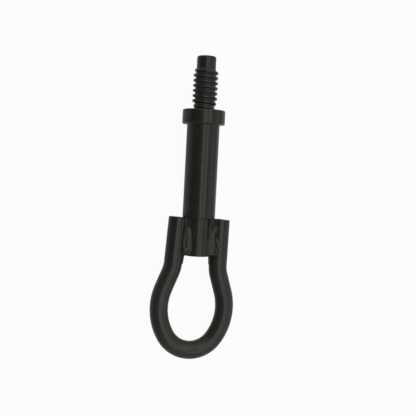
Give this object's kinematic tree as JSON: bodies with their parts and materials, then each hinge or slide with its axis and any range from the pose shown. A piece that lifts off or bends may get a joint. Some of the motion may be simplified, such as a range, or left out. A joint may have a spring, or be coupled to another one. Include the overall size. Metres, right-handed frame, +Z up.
{
  "type": "tow eye",
  "caption": "Screw-in tow eye with a plain pilot tip, a coarse left-hand thread and a seating collar on a round stem, welded to a closed loop of bent round bar.",
  "frame": {"origin": "middle of the outline seen from above, on the ground it lies on", "axes": "+Y is level below the shank towards the pilot tip, +Z is up, +X runs across the loop; the shank points 3.06 degrees above +Y because the part rests on its collar and the far end of its loop"},
  "size_m": [0.056, 0.1994, 0.0284],
  "materials": {
    "shank": "satin black coating over turned steel",
    "bar": "satin black coating over bent steel bar",
    "weld": "satin black coating over weld metal"
  },
  "bodies": {
    "root": {"shank": "shank", "eye_bar": "bar", "weld_front_left": "weld", "weld_front_right": "weld", "weld_back_left": "weld", "weld_back_right": "weld", "spatter": "weld"}
  },
  "joints": []
}
